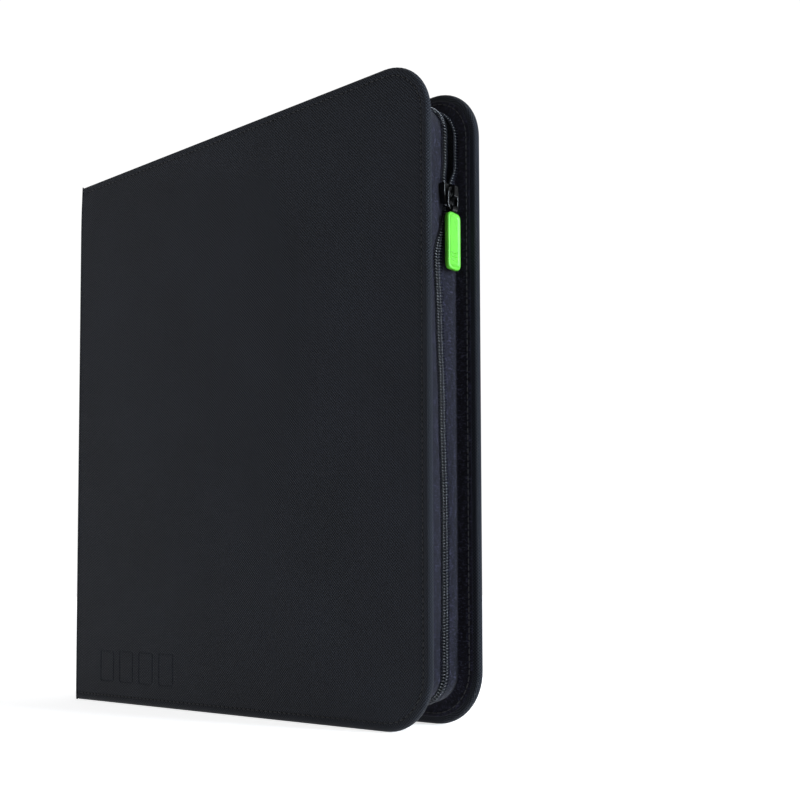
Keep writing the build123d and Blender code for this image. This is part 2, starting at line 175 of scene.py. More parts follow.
def make_mesh(name, verts, faces, uvs, material, smooth=True):
    """A mesh object from millimetre vertices; uvs are one millimetre pair for each vertex."""
    mesh = bpy.data.meshes.new(name)
    mesh.from_pydata([(x * MM, y * MM, z * MM) for x, y, z in verts], [], faces)
    if uvs:
        layer = mesh.uv_layers.new(name="cloth")
        for loop in mesh.loops:
            u, v = uvs[loop.vertex_index]
            layer.data[loop.index].uv = (u * MM, v * MM)
    mesh.materials.append(material)
    for polygon in mesh.polygons:
        polygon.use_smooth = smooth
    obj = bpy.data.objects.new(name, mesh)
    bpy.context.scene.collection.objects.link(obj)
    return obj


class Builder:
    """Collects vertices, texture coordinates and faces from several shapes for one mesh."""

    def __init__(self):
        self.verts, self.uvs, self.faces = [], [], []

    def grid(self, rows, uv_rows, close_columns=False):
        """Quads between rows of points; close_columns joins each row's end to its start."""
        start, n = len(self.verts), len(rows[0])
        for row, uv_row in zip(rows, uv_rows):
            self.verts.extend(row)
            self.uvs.extend(uv_row)
        for k in range(len(rows) - 1):
            for i in range(n if close_columns else n - 1):
                a, b = start + k * n + i, start + k * n + (i + 1) % n
                c, d = start + (k + 1) * n + (i + 1) % n, start + (k + 1) * n + i
                self.faces.append((a, b, c, d))

    def cap(self, ring, uv_ring, flip=False):
        """One face over a ring of points; flip turns it over."""
        start = len(self.verts)
        self.verts.extend(ring)
        self.uvs.extend(uv_ring)
        face = tuple(range(start, start + len(ring)))
        self.faces.append(face[::-1] if flip else face)

    def tube(self, points, radii, sides=6):
        """A round rod with closed ends along points, with a radius for each; every ring faces the path."""
        count = len(points)
        vectors = [Vector(p) for p in points]
        rings, lengths, run = [], [], 0.0
        up = None
        for i, p in enumerate(vectors):
            before = vectors[i - 1] if i else p
            after = vectors[i + 1] if i < count - 1 else p
            tangent = (after - before).normalized()
            if up is None:
                up = tangent.orthogonal().normalized()
            up = (up - tangent * up.dot(tangent)).normalized()
            across = tangent.cross(up)
            run += (p - vectors[i - 1]).length if i else 0.0
            lengths.append(run)
            ring = []
            for k in range(sides):
                a = 2 * math.pi * k / sides
                ring.append(tuple(p + (up * math.cos(a) + across * math.sin(a)) * radii[i]))
            rings.append(ring)
        uv_rings = []
        for radius, length in zip(radii, lengths):
            uv_rings.append([(2 * math.pi * radius * k / sides, length) for k in range(sides)])
        self.grid(rings, uv_rings, close_columns=True)
        self.cap(rings[0], uv_rings[0], flip=True)
        self.cap(rings[-1], uv_rings[-1])

    def object(self, name, material):
        return make_mesh(name, self.verts, self.faces, self.uvs, material)


def smoothstep(t):
    """An eased step from 0 at t = 0 to 1 at t = 1, flat outside."""
    t = max(0.0, min(1.0, t))
    return t * t * (3 - 2 * t)


def spaced_evenly(low, high, count):
    return [low + (high - low) * i / count for i in range(count + 1)]


def half_gap(z):
    """Half the gap between the coil rows at a height: meshed, parted in the slider, then open to the top."""
    low, high = SLIDER_LOW.z + 2.0, SLIDER_HIGH.z
    if z < high:
        return CLOSED_GAP + (MOUTH_GAP - CLOSED_GAP) * smoothstep((z - low) / (high - low - 2.0))
    t = min(1.0, (z - high) / (OPEN_FROM_Z - high))
    return MOUTH_GAP + (OPEN_GAP - MOUTH_GAP) * math.sin(t * math.pi / 2)


def chain_y(z):
    """The middle between the rows: it wanders below the slider and lies to the back above it."""
    above = ((SLIDER_LOW.z - 1.0, SLIDER_Y), (SLIDER_HIGH.z, SLIDER_Y), (OPEN_FROM_Z, OPEN_Y))
    points = (*CHAIN_WANDER, *above)
    for (z0, y0), (z1, y1) in zip(points, points[1:]):
        if z < z1:
            return y0 + (y1 - y0) * smoothstep((z - z0) / (z1 - z0))
    return OPEN_Y


# ================= materials =================
class Shader:
    """One Principled material and short ways to add the nodes that feed it."""

    def __init__(self, name, **sockets):
        self.material = bpy.data.materials.new(name)
        self.material.use_nodes = True
        self.tree = self.material.node_tree
        self.surface = self.tree.nodes["Principled BSDF"]
        for socket, value in sockets.items():
            self.surface.inputs[socket.replace("_", " ")].default_value = value

    def node(self, kind, inputs=None, **settings):
        made = self.tree.nodes.new(kind)
        for key, value in settings.items():
            setattr(made, key, value)
        for key, value in (inputs or {}).items():
            if isinstance(value, bpy.types.NodeSocket):
                self.tree.links.new(value, made.inputs[key])
            else:
                made.inputs[key].default_value = value
        return made

    def math(self, operation, a, b=0.0, c=0.0):
        return self.node("ShaderNodeMath", {0: a, 1: b, 2: c}, operation=operation).outputs[0]

    def place(self, uv=True):
        """The surface's own coordinates: its cloth layer, or the place in the part, both in metres."""
        if uv:
            return self.node("ShaderNodeUVMap", uv_map="cloth").outputs[0]
        return self.node("ShaderNodeTexCoord").outputs["Object"]

    def noise(self, vector, scale, detail=3.0, roughness=0.55):
        inputs = {"Vector": vector, "Scale": scale, "Detail": detail, "Roughness": roughness}
        return self.node("ShaderNodeTexNoise", inputs).outputs[0]

    def ramp(self, factor, *stops):
        made = self.node("ShaderNodeValToRGB", {0: factor})
        elements = made.color_ramp.elements
        while len(elements) < len(stops):
            elements.new(0.5)
        for element, (position, colour) in zip(elements, stops):
            element.position = position
            element.color = (*colour, 1.0)
        return made.outputs[0]

    def levels(self, factor, low, high):
        return self.node("ShaderNodeMapRange", {0: factor, 3: low, 4: high}).outputs[0]

    def wave(self, coordinate, period, phase=0.0):
        """A sine of a coordinate in metres whose period is in millimetres."""
        turns = self.math("MULTIPLY_ADD", coordinate, 2 * math.pi / (period * MM), phase)
        return self.math("SINE", turns)

    def bump(self, height, strength, distance_mm):
        inputs = {"Height": height, "Strength": strength, "Distance": distance_mm * MM}
        return self.node("ShaderNodeBump", inputs).outputs[0]

    def feed(self, **sockets):
        for socket, value in sockets.items():
            self.tree.links.new(value, self.surface.inputs[socket.replace("_", " ")])
        return self.material


def grey(value, tint=(1.0, 1.0, 1.0)):
    return tuple(value * t for t in tint)


def cover_cloth():
    """Coated ballistic cloth: thick yarns in a plain weave, near black and slightly blue, with painted
    highlight on the yarn crowns and painted shade in the hollows between them.
    """
    s = Shader("cover_cloth", Roughness=0.6, Specular_IOR_Level=0.15, Sheen_Weight=0.02, Sheen_Roughness=0.4)
    uv = s.place()
    split = s.node("ShaderNodeSeparateXYZ", {0: uv})
    wobble = s.noise(uv, 160.0, 2.0)
    u = s.math("MULTIPLY_ADD", wobble, 0.0005, split.outputs[0])
    v = s.math("MULTIPLY_ADD", wobble, 0.0005, split.outputs[1])
    yarns = s.math("MULTIPLY", s.wave(u, 2 * YARN), s.wave(v, 2 * YARN))
    fibres = s.noise(uv, 3200.0, 2.0)
    height = s.math("MULTIPLY_ADD", fibres, 0.25, yarns)
    crown = s.node("ShaderNodeMapRange", {0: yarns, 1: -1.0, 2: 1.0, 3: 0.0, 4: 1.0}).outputs[0]
    blotch = s.noise(uv, 14.0, 2.0)
    # the colour mixes random blotches with the yarns' height: a painted highlight on the crowns and painted
    # shade in the hollows
    shade = s.math("MULTIPLY_ADD", blotch, 0.25, s.math("MULTIPLY", crown, 0.7))
    colour = s.ramp(shade, (0.25, (0.0010, 0.0014, 0.0026)), (0.85, (0.0165, 0.0205, 0.0310)))
    rough = s.node("ShaderNodeMapRange", {0: crown, 1: 0.0, 2: 1.0, 3: 0.75, 4: 0.45}).outputs[0]
    return s.feed(Base_Color=colour, Roughness=rough, Normal=s.bump(height, 0.9, 0.28))


def lining_cloth():
    """Smooth thin cloth with a fine rib, on the inner faces."""
    s = Shader("lining_cloth", Roughness=0.7, Specular_IOR_Level=0.3, Sheen_Weight=0.15)
    place = s.place(uv=False)
    split = s.node("ShaderNodeSeparateXYZ", {0: place})
    rib = s.wave(split.outputs[2], 0.8)
    grain = s.noise(place, 900.0, 3.0)
    shade = s.math("MULTIPLY_ADD", rib, 0.2, grain)
    colour = s.ramp(shade, (0.2, grey(0.007, (1, 1.02, 1.1))), (0.9, grey(0.016, (1, 1.02, 1.12))))
    return s.feed(Base_Color=colour, Normal=s.bump(shade, 0.4, 0.08))


def gusset_cloth():
    """Heathered navy-black zip tape: short fibres of two shades over a fine twill."""
    s = Shader("gusset_cloth", Roughness=0.9, Specular_IOR_Level=0.12, Sheen_Weight=0.06,
               Sheen_Roughness=0.5)
    uv = s.place()
    split = s.node("ShaderNodeSeparateXYZ", {0: uv})
    diagonal = s.math("ADD", split.outputs[0], split.outputs[1])
    twill = s.wave(diagonal, 0.9)
    stretched = s.node("ShaderNodeMapping", {0: uv, "Scale": (1.0, 0.45, 1.0)}).outputs[0]
    fleck = s.noise(stretched, 1000.0, 3.0, 0.75)
    cloud = s.noise(uv, 220.0, 2.0)
    shade = s.math("MULTIPLY_ADD", cloud, 0.35, fleck)
    dark, middling, light = (0.0007, 0.0008, 0.0020), (0.0055, 0.0055, 0.0115), (0.034, 0.034, 0.060)
    colour = s.ramp(shade, (0.50, dark), (0.72, middling), (0.90, light))
    height = s.math("MULTIPLY_ADD", twill, 0.35, fleck)
    return s.feed(Base_Color=colour, Normal=s.bump(height, 0.7, 0.2))


def nylon(name, colour, roughness):
    """Drawn nylon, for the coil and the sewing thread."""
    s = Shader(name, Roughness=roughness, Specular_IOR_Level=0.55)
    place = s.place(uv=False)
    grain = s.noise(place, 1800.0, 2.0)
    shades = s.ramp(grain, (0.3, grey(0.75, colour)), (0.8, grey(1.25, colour)))
    rough = s.levels(grain, roughness - 0.06, roughness + 0.1)
    return s.feed(Base_Color=shades, Roughness=rough, Normal=s.bump(grain, 0.2, 0.05))


def black_metal():
    """Black enamel on the slider and ring, with fine handling marks."""
    s = Shader("black_metal", Roughness=0.2, Specular_IOR_Level=0.3, Coat_Weight=0.15, Coat_Roughness=0.08)
    place = s.place(uv=False)
    marks = s.noise(place, 700.0, 4.0, 0.7)
    colour = s.ramp(marks, (0.35, grey(0.0015)), (0.85, grey(0.005, (1, 1.02, 1.08))))
    rough = s.levels(marks, 0.14, 0.34)
    return s.feed(Base_Color=colour, Roughness=rough, Normal=s.bump(marks, 0.15, 0.04))


def lime_rubber():
    """Soft moulded lime green with a fine spark-eroded grain."""
    s = Shader("lime_rubber", Roughness=0.42, Specular_IOR_Level=0.45, Subsurface_Weight=0.12,
               Subsurface_Scale=0.0015)
    s.surface.inputs["Subsurface Radius"].default_value = (0.4, 1.0, 0.3)
    place = s.place(uv=False)
    grain = s.noise(place, 2600.0, 2.0)
    cloud = s.noise(place, 160.0, 2.0)
    shade = s.math("MULTIPLY_ADD", grain, 0.3, cloud)
    colour = s.ramp(shade, (0.3, (0.060, 0.33, 0.013)), (0.9, (0.095, 0.42, 0.026)))
    rough = s.levels(grain, 0.36, 0.52)
    return s.feed(Base_Color=colour, Roughness=rough, Normal=s.bump(grain, 0.25, 0.05))


def page_sheet_plastic():
    """The black core sheet of a page, very slightly grained."""
    s = Shader("page_sheet_plastic", Roughness=0.42, Specular_IOR_Level=0.35)
    place = s.place(uv=False)
    grain = s.noise(place, 700.0, 3.0)
    cloud = s.noise(place, 25.0, 2.0)
    colour = s.ramp(cloud, (0.3, grey(0.0045)), (0.8, grey(0.0080)))
    return s.feed(Base_Color=colour, Roughness=s.levels(grain, 0.36, 0.52), Normal=s.bump(grain, 0.08, 0.05))


def pocket_weld():
    """The pale stippled line where the pocket film is welded to the core."""
    s = Shader("pocket_weld", Roughness=0.5, Specular_IOR_Level=0.4)
    dots = s.noise(s.place(uv=False), 1400.0, 2.0)
    colour = s.ramp(dots, (0.35, grey(0.020)), (0.75, grey(0.060)))
    return s.feed(Base_Color=colour, Roughness=s.levels(dots, 0.35, 0.65), Normal=s.bump(dots, 0.4, 0.08))


def clear_film():
    """Clear pocket film, slightly hazy, with soft ripples."""
    s = Shader("clear_film", Roughness=0.12, Specular_IOR_Level=0.6)
    place = s.place(uv=False)
    ripple = s.noise(place, 14.0, 2.0)
    haze = s.noise(place, 900.0, 2.0)
    colour = s.ramp(haze, (0.3, grey(0.22)), (0.8, grey(0.30)))
    alpha = s.levels(haze, 0.10, 0.18)
    rough = s.levels(haze, 0.08, 0.2)
    return s.feed(Base_Color=colour, Alpha=alpha, Roughness=rough, Normal=s.bump(ripple, 0.2, 0.3))


def moulded_black():
    """Black moulded plastic, for the binding."""
    s = Shader("moulded_black", Roughness=0.5, Specular_IOR_Level=0.4)
    place = s.place(uv=False)
    grain = s.noise(place, 1200.0, 3.0)
    colour = s.ramp(grain, (0.3, grey(0.010)), (0.8, grey(0.018)))
    return s.feed(Base_Color=colour, Roughness=s.levels(grain, 0.42, 0.6), Normal=s.bump(grain, 0.3, 0.05))


def grey_board():
    """Grey pulp board, inside the covers and the spine."""
    s = Shader("grey_board", Roughness=0.9)
    place = s.place(uv=False)
    pulp = s.noise(place, 500.0, 5.0, 0.7)
    colour = s.ramp(pulp, (0.3, (0.16, 0.15, 0.13)), (0.8, (0.32, 0.30, 0.27)))
    return s.feed(Base_Color=colour, Normal=s.bump(pulp, 0.4, 0.1))


def soft_foam():
    """Dark open-celled foam, under the cloth."""
    s = Shader("soft_foam", Roughness=0.95)
    place = s.place(uv=False)
    cells = s.node("ShaderNodeTexVoronoi", {"Vector": place, "Scale": 1500.0}).outputs[0]
    colour = s.ramp(cells, (0.1, grey(0.03)), (0.7, grey(0.09)))
    return s.feed(Base_Color=colour, Normal=s.bump(cells, 0.6, 0.15))


def satin_steel():
    """Brushed steel, for the rivets."""
    s = Shader("satin_steel", Metallic=1.0, Roughness=0.32)
    place = s.place(uv=False)
    brushed = s.node("ShaderNodeMapping", {0: place, "Scale": (1.0, 1.0, 12.0)}).outputs[0]
    lines = s.noise(brushed, 900.0, 3.0)
    colour = s.ramp(lines, (0.3, grey(0.30)), (0.8, grey(0.48)))
    return s.feed(Base_Color=colour, Roughness=s.levels(lines, 0.24, 0.42), Normal=s.bump(lines, 0.2, 0.03))


def needle_hole_shade():
    """Near black with no shine, the painted shade inside a needle hole."""
    s = Shader("needle_hole_shade", Roughness=1.0, Specular_IOR_Level=0.05)
    shade = s.noise(s.place(uv=False), 2000.0, 1.0)
    return s.feed(Base_Color=s.ramp(shade, (0.3, grey(0.0008)), (0.8, grey(0.002))))


def studio_floor():
    """Plain pale floor, brighter with distance until it is as white as the backdrop."""
    s = Shader("studio_floor", Roughness=0.7, Specular_IOR_Level=0.1, Emission_Strength=FLOOR_GLOW)
    s.surface.inputs["Emission Color"].default_value = (1.0, 1.0, 1.0, 1.0)
    place = s.place(uv=False)
    shade = s.noise(place, 3.0, 2.0)
    away = s.node("ShaderNodeVectorMath", {0: place}, operation="LENGTH").outputs["Value"]
    colour = s.ramp(shade, (0.2, grey(0.78)), (0.8, grey(0.82)))
    glow = s.node("ShaderNodeMapRange", {0: away, 1: 0.5, 2: 3.0, 3: FLOOR_GLOW, 4: WORLD_SEEN})
    return s.feed(Base_Color=colour, Emission_Strength=glow.outputs[0])


FLOOR_GLOW = 0.72
WORLD_SEEN, WORLD_LIGHT = 1.05, 0.24
CLOTH = cover_cloth()
LINING = lining_cloth()
GUSSET = gusset_cloth()
COIL_NYLON = nylon("coil_nylon", (0.005, 0.006, 0.010), 0.26)
THREAD = nylon("sewing_thread", (0.0035, 0.004, 0.006), 0.6)
METAL = black_metal()
LIME = lime_rubber()
CORE = page_sheet_plastic()
FILM = clear_film()
WELDED = pocket_weld()
MOULDED = moulded_black()
BOARD = grey_board()
FOAM = soft_foam()
STEEL = satin_steel()
HOLE_SHADE = needle_hole_shade()


# ================= covers =================
EDGE_ROUND = COVER_T / 2 - 0.05
TURN_IN = 22.0
GROOVE_W, GROOVE_DEPTH, CARD_R = 1.5, 0.42, 2.2  # of the pressed card outlines


def cover_profile():
    """(inset, depth) pairs from the face, over the stitch groove and round the edge, to the turn-in."""
    points = [(FACE_GRID_INSET, 0.0), (9.5, 0.0), (7.6, 0.01), (6.6, 0.06), (5.8, 0.16), (5.2, 0.32)]
    points += [(STITCH_INSET, GROOVE), (4.05, 0.32), (3.5, 0.13), (2.9, 0.03)]
    for i in range(8):
        a = math.pi / 2 * i / 7
        points.append((EDGE_ROUND * (1 - math.sin(a)), EDGE_ROUND * (1 - math.cos(a))))
    for i in range(8):
        a = math.pi / 2 * i / 7
        points.append((EDGE_ROUND * (1 - math.cos(a)), COVER_T - EDGE_ROUND * (1 - math.sin(a))))
    points += [(4.0, COVER_T), (TURN_IN - 0.6, COVER_T), (TURN_IN, COVER_T - 0.5)]
    return points


def face_swell(x, z):
    """The padding's slight unevenness over the face, in millimetres inwards."""
    broad = noise.noise(Vector((x / 70.0, z / 70.0, 3.1)))
    small = noise.noise(Vector((x / 16.0, z / 16.0, 8.7)))
    return 0.10 + 0.10 * broad + 0.03 * small


def pressed(x, z):
    """How deep the four pressed card outlines are at a place on the front cover's face."""
    if not (MOTIF_X - 1 < x < MOTIF_X + MOTIF_W + 1 and MOTIF_Z - 1 < z < MOTIF_Z + CARD_H + 1):
        return 0.0
    card = min(CARD_COUNT - 1, max(0, round((x - MOTIF_X - CARD_W / 2) / CARD_STEP)))
    across = abs(x - MOTIF_X - CARD_W / 2 - CARD_STEP * card) - CARD_W / 2 + CARD_R
    up = abs(z - MOTIF_Z - CARD_H / 2) - CARD_H / 2 + CARD_R
    outside = math.hypot(max(across, 0.0), max(up, 0.0)) + min(max(across, up), 0.0) - CARD_R
    return GROOVE_DEPTH * smoothstep(1.0 - abs(outside + GROOVE_W / 2) / (GROOVE_W / 2) * 0.9)


def make_cover_skin(side):
    """The cover's cloth: a gently uneven padded face, a sewn groove, a rolled edge and the turn-in."""
    shape = Builder()
    profile = cover_profile()
    rows, uv_rows = [], []
    unrolled = profile[0][0]
    for k, (inset, depth) in enumerate(profile):
        if k:
            unrolled -= math.hypot(inset - profile[k - 1][0], depth - profile[k - 1][1])
        row, uv_row = [], []
        for x, z, nx, nz in OUTLINE:
            px, pz = x - inset * nx, z - inset * nz
            swell = face_swell(px, pz) * smoothstep((inset - 4.0) / 6.0) if depth < 1.0 else 0.0
            row.append((px, side * (FACE_Y - depth - swell), pz))
            uv_row.append((x - unrolled * nx, z - unrolled * nz))
        rows.append(row)
        uv_rows.append(uv_row)
    shape.grid(rows, uv_rows)

    columns, uv_columns = [], []
    inset = FACE_GRID_INSET
    for x, z_low, nx, nz in OUTLINE[:len(RUN_XS) + ARC_STEPS]:
        low = z_low - inset * nz
        px = x - inset * nx
        column = []
        for rise in RISES:
            z = low + (HEIGHT - 2 * low) * rise
            sunk = face_swell(px, z) + (pressed(px, z) if side == FRONT else 0.0)
            column.append((px, side * (FACE_Y - sunk), z))
        columns.append(column)
        uv_columns.append([(px, p[2]) for p in column])
    shape.grid(columns, uv_columns)
    word = WORDS[side]
    skin = shape.object(f"{word}_cover_cloth", CLOTH)
    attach(skin, f"{word}_cover")
    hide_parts(f"{word}_cover_skin")


# one stitch: place along it, lift and thickness, each as a share of the whole
STITCH_SHAPE = ((-0.5, -0.35, 0.5), (-0.36, 0.5, 0.9), (0.0, 1.0, 1.0), (0.36, 0.5, 0.9), (0.5, -0.35, 0.5))


def stitch_row(name, side, y_of, inset, first, last, material, length, width, height, tilt=0.0):
    """A row of thread lengths lying on a cover's face along an inset path."""
    path = EdgePath(inset)
    shape = Builder()
    d = first
    while d < path.length - last:
        points, radii = [], []
        for t, lift, fat in STITCH_SHAPE:
            x, z, nx, nz = path.at(d + t * length)
            off = tilt * t
            points.append((x + nx * off, y_of + side * height * lift, z + nz * off))
            radii.append(width / 2 * fat)
        shape.tube(points, radii, sides=6)
        d += STITCH_PITCH
    return shape.object(name, material)


def needle_hole_shade_discs(name, y_face, side, inset, first, last):
    """Small near-black discs between the stitches, painted shade where the needle holes are."""
    path = EdgePath(inset)
    shape = Builder()
    d = first + STITCH_PITCH / 2
    while d < path.length - last:
        x, z, nx, nz = path.at(d)
        tx, tz = -nz, nx
        ring = []
        for k in range(8):
            a = 2 * math.pi * k / 8
            along, across = 0.95 * math.cos(a), 0.72 * math.sin(a)
            ring.append((x + tx * along + nx * across, y_face, z + tz * along + nz * across))
        shape.cap(ring, [(p[0], p[2]) for p in ring], flip=side > 0)
        d += STITCH_PITCH
    return shape.object(name, HOLE_SHADE)


def make_cover_stitches(side):
    """The sewing in the cover's groove with painted shade discs at its needle holes, and the seam that holds
    the gusset tape.
    """
    word = WORDS[side]
    groove = FACE_Y - GROOVE
    thread = stitch_row(f"{word}_edge_stitches", side, side * (groove + 0.02), STITCH_INSET, 5.0, 4.0,
                        THREAD, 2.5, 0.62, 0.14, 0.22)
    # near-black discs at the needle holes, painted shade of the holes' insides
    hole_shades = needle_hole_shade_discs(f"{word}_needle_hole_shade_discs", side * (groove + 0.05), side, STITCH_INSET, 5.0, 5.0)
    seam_y = side * (INNER_Y - 0.62)
    seam = stitch_row(f"{word}_seam_stitches", -side, seam_y, SEAM_INSET, 8.0, 8.0, THREAD, 2.9, 0.6, 0.2)
    for piece in (thread, hole_shades, seam):
        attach(piece, f"{word}_cover")


# ================= spine and folds =================
FOLD_R = COVER_X0 - SPINE_X
FOLD_T = 0.7
CURL_FROM, CURL = 32.0, 2.4  # the top of the spine leans in a little


def curl(z):
    """How far the soft spine edge bends in towards the covers near its top and bottom ends."""
    top = max(0.0, (z - (HEIGHT - CURL_FROM)) / CURL_FROM)
    bottom = max(0.0, (9.0 - z) / 9.0)
    return CURL * top ** 2 + 0.8 * bottom ** 2


def make_fold(side):
    """The cloth that bends between spine and cover."""
    word = WORDS[side]
    shape = Builder()
    steps = 12
    rows, uv_rows = [], []
    angles = [math.pi / 2 * i / steps for i in range(steps + 1)]
    section = [(FOLD_R, a) for a in angles] + [(FOLD_R - FOLD_T, a) for a in angles[::-1]]
    for z in spaced_evenly(0.0, HEIGHT, 90):
        row, uv_row = [], []
        for r, a in section:
            x = COVER_X0 - r * math.cos(a)
            y = side * (SPINE_HALF + r * math.sin(a))
            bend = curl(z) * math.cos(a)
            row.append((x + bend, y, z))
            uv_row.append((COVER_X0 - r * (math.pi / 2 - a), z))
        rows.append(row)
        uv_rows.append(uv_row)
    shape.grid(rows, uv_rows, close_columns=True)
    shape.cap(rows[0], uv_rows[0])
    shape.cap(rows[-1], uv_rows[-1], flip=True)
    fold = shape.object(f"{word}_fold_cloth", CLOTH)
    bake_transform(fold)
    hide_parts(f"{word}_fold")


def make_spine():
    """The spine's cloth, rolled over its board at top and bottom and turned in on the inside."""
    shape = Builder()
    t = SPINE_IN_X - SPINE_X
    edge = 1.2
    path = [(SPINE_IN_X, 16.0), (SPINE_IN_X, 6.0), (SPINE_IN_X, edge)]
    for i in range(1, 6):
        a = math.pi / 2 * i / 5
        path.append((SPINE_IN_X - edge * (1 - math.cos(a)), edge * (1 - math.sin(a))))
    for i in range(6):
        a = math.pi / 2 * i / 5
        path.append((SPINE_X + edge * (1 - math.sin(a)), edge * (1 - math.cos(a))))
    path += [(SPINE_X, z) for z in spaced_evenly(4.0, HEIGHT - 4.0, 80)]
    mirrored = [(x, HEIGHT - z) for x, z in path if z < 3.9 or x > SPINE_X + 0.01]
    path += mirrored[::-1]
    rows, uv_rows = [], []
    run = 0.0
    for k, (x, z) in enumerate(path):
        if k:
            run += math.hypot(x - path[k - 1][0], z - path[k - 1][1])
        row, uv_row = [], []
        for i in range(17):
            y = -SPINE_HALF + 2 * SPINE_HALF * i / 16
            row.append((x + curl(z), y, z))
            uv_row.append((COVER_X0 - FOLD_R * math.pi / 2 - (y + SPINE_HALF), run - 16.0 - t))
        rows.append(row)
        uv_rows.append(uv_row)
    shape.grid(rows, uv_rows)
    skin = shape.object("spine_cloth", CLOTH)
    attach(skin, "spine")
    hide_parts("spine_skin")


def make_inner_fold(side):
    """The lining strip that crosses the fold on the inside, from the cover to the spine."""
    word = WORDS[side]
    line = [(COVER_X0 + 14.0, INNER_Y - 0.05), (COVER_X0 + 5.0, INNER_Y - 0.05)]
    line += [(COVER_X0 + 1.6, INNER_Y - 0.15), (COVER_X0 - 0.2, INNER_Y - 0.5)]
    line += [(SPINE_IN_X + 0.45, INNER_Y - 1.3), (SPINE_IN_X + 0.12, INNER_Y - 1.9)]
    thick = 0.35
    shape = Builder()
    rows, uv_rows = [], []
    for z in spaced_evenly(9.0, HEIGHT - 9.0, 60):
        row, uv_row, run = [], [], 0.0
        for k, (x, y) in enumerate(line):
            if k:
                run += math.hypot(x - line[k - 1][0], y - line[k - 1][1])
            row.append((x, side * y, z))
            uv_row.append((run, z))
        for k in range(len(line) - 1, -1, -1):
            x, y = line[k]
            out = (thick, 0.0) if k > 3 else (0.0, -thick)
            row.append((x + out[0], side * (y + out[1]), z))
            uv_row.append((0.0, z))
        rows.append(row)
        uv_rows.append(uv_row)
    shape.grid(rows, uv_rows, close_columns=True)
    shape.cap(rows[0], uv_rows[0])
    shape.cap(rows[-1], uv_rows[-1], flip=True)
    strip = shape.object(f"{word}_inner_fold_strip", LINING)
    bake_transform(strip)


# ================= gusset and zip =================
TAPE_T = 0.55
WALL_STEPS = 14


def slider_near(z):
    """1 beside the slider at rest and at each end of its slide, falling to 0 a slider's length away."""
    middle = (SLIDER_LOW.z + SLIDER_HIGH.z) / 2
    nearest = min(abs(z - middle - along) for along in (SLIDE_DOWN, 0.0, SLIDE_UP))
    return smoothstep(2.0 - nearest / SLIDER_REACH)


def tape_section(side, px, pz):
    """(inset, distance from the cover's inner face) pairs across the tape at a place on the outline."""
    gap = half_gap(pz)
    edge = INNER_Y - side * chain_y(pz) - gap - TAPE_UNDER_COIL
    loose = smoothstep((gap - MOUTH_GAP) / (OPEN_GAP - MOUTH_GAP))
    points = [(4.0, 0.30), (4.4, 0.52), (SEAM_INSET - 1.2, 0.6), (SEAM_INSET, 0.5), (SEAM_INSET + 1.3, 0.62)]
    points += [(9.5, 0.72)]
    shrink = min(1.0, edge / 6.0)
    points += [(11.4, 0.72 + 0.10 * shrink), (12.5, 0.72 + 0.30 * shrink), (12.7, 0.72 + 0.75 * shrink)]
    root = 0.72 + 0.75 * shrink
    bow = (1.15 - 0.75 * loose) * (1.0 - 0.8 * slider_near(pz)) * shrink
    for i in range(1, WALL_STEPS + 1):
        v = i / WALL_STEPS
        d = root + (edge - root) * v
        fold = noise.noise(Vector((px / 24.0, pz / 30.0, d / 12.0 + 5.0 * side)))
        wave = (0.25 + 0.75 * loose) * math.sin(math.pi * v) * fold
        points.append((INSET - 0.05 - bow * math.sin(math.pi * v) ** 0.6 - wave, d))
    return points


def make_tape(side):
    """One gusset tape: the margin sewn to the cover, a rolled root and the wall up to its coil."""
    word = WORDS[side]
    shape = Builder()
    rows, uv_rows = [], []
    run = 0.0
    last = None
    for x, z, nx, nz in OUTLINE:
        px, pz = x - INSET * nx, z - INSET * nz
        if px < TAPE_X0 + 0.01:
            px = TAPE_X0
        if last is not None:
            run += math.hypot(px - last[0], pz - last[1])
        last = (px, pz)
        section = tape_section(side, px, pz)
        lower = []
        for k, (s, d) in enumerate(section):
            s0, d0 = section[max(0, k - 1)]
            s1, d1 = section[min(len(section) - 1, k + 1)]
            span = math.hypot(s1 - s0, d1 - d0) or 1.0
            lower.append((s + TAPE_T * (d1 - d0) / span, d - TAPE_T * (s1 - s0) / span))
        row, uv_row, across = [], [], 0.0
        loop = section + lower[::-1]
        for k, (s, d) in enumerate(loop):
            if k:
                across += math.hypot(s - loop[k - 1][0], d - loop[k - 1][1])
            bx = max(TAPE_X0, x - s * nx)
            row.append((bx, side * (INNER_Y - max(0.02, d)), z - s * nz))
            uv_row.append((run, across))
        rows.append(row)
        uv_rows.append(uv_row)
    shape.grid(rows, uv_rows, close_columns=True)
    shape.cap(rows[0], uv_rows[0])
    shape.cap(rows[-1], uv_rows[-1], flip=True)
    tape = shape.object(f"{word}_gusset_tape", GUSSET)
    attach(tape, f"{word}_cover")
    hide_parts(f"{word}_zip_tape")


# one turn of the coil: away from the row's inner side, height over the tape, place along the chain, and
# the wire's radius
COIL_TURN = (
    (3.05, 0.35, 0.00, 0.30),
    (1.60, 0.30, 0.18, 0.30),
    (0.20, 0.45, 0.34, 0.34),
    (-0.42, 0.95, 0.40, 0.38),
    (-0.35, 1.45, 0.44, 0.38),
    (0.30, 1.80, 0.52, 0.34),
    (1.60, 1.88, 0.76, 0.32),
    (2.70, 1.62, 1.00, 0.30),
    (3.10, 1.00, 1.28, 0.30),
)


